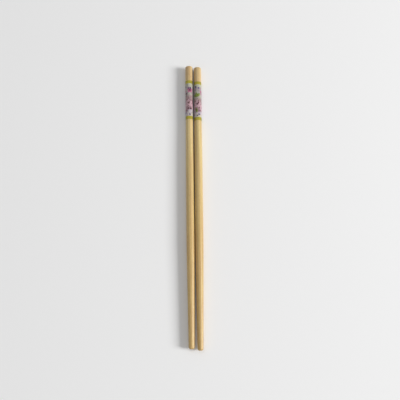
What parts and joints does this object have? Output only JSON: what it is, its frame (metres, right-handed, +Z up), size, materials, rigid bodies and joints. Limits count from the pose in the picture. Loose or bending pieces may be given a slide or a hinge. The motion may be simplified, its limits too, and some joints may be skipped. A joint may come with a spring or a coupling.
{
  "type": "pair of bamboo chopsticks",
  "caption": "Pair of long round bamboo chopsticks with flat butts, tapered tips and a printed floral band between gold rings near the butt ends.",
  "frame": {"origin": "middle of the pair's footprint, on the surface that the sticks lie on", "axes": "+Y along the sticks towards their printed butt ends, +X across the pair from the left stick to the right, +Z up"},
  "size_m": [0.0146, 0.2512, 0.007],
  "materials": {
    "bamboo": "satin",
    "film_ground": "satin",
    "gold_ink": "satin",
    "maroon_ink": "satin",
    "magenta_ink": "satin",
    "pink_ink": "satin",
    "violet_ink": "satin",
    "green_ink": "satin"
  },
  "bodies": {
    "root": {"left_stick": "bamboo", "left_film_ground": "film_ground", "left_gold_rings": "gold_ink", "left_hearts": "maroon_ink", "left_blossoms": "magenta_ink", "left_peonies": "pink_ink", "left_buds": "violet_ink", "left_leaves": "green_ink", "right_stick": "bamboo", "right_film_ground": "film_ground", "right_gold_rings": "gold_ink", "right_hearts": "maroon_ink", "right_blossoms": "magenta_ink", "right_peonies": "pink_ink", "right_buds": "violet_ink", "right_leaves": "green_ink"}
  },
  "joints": []
}
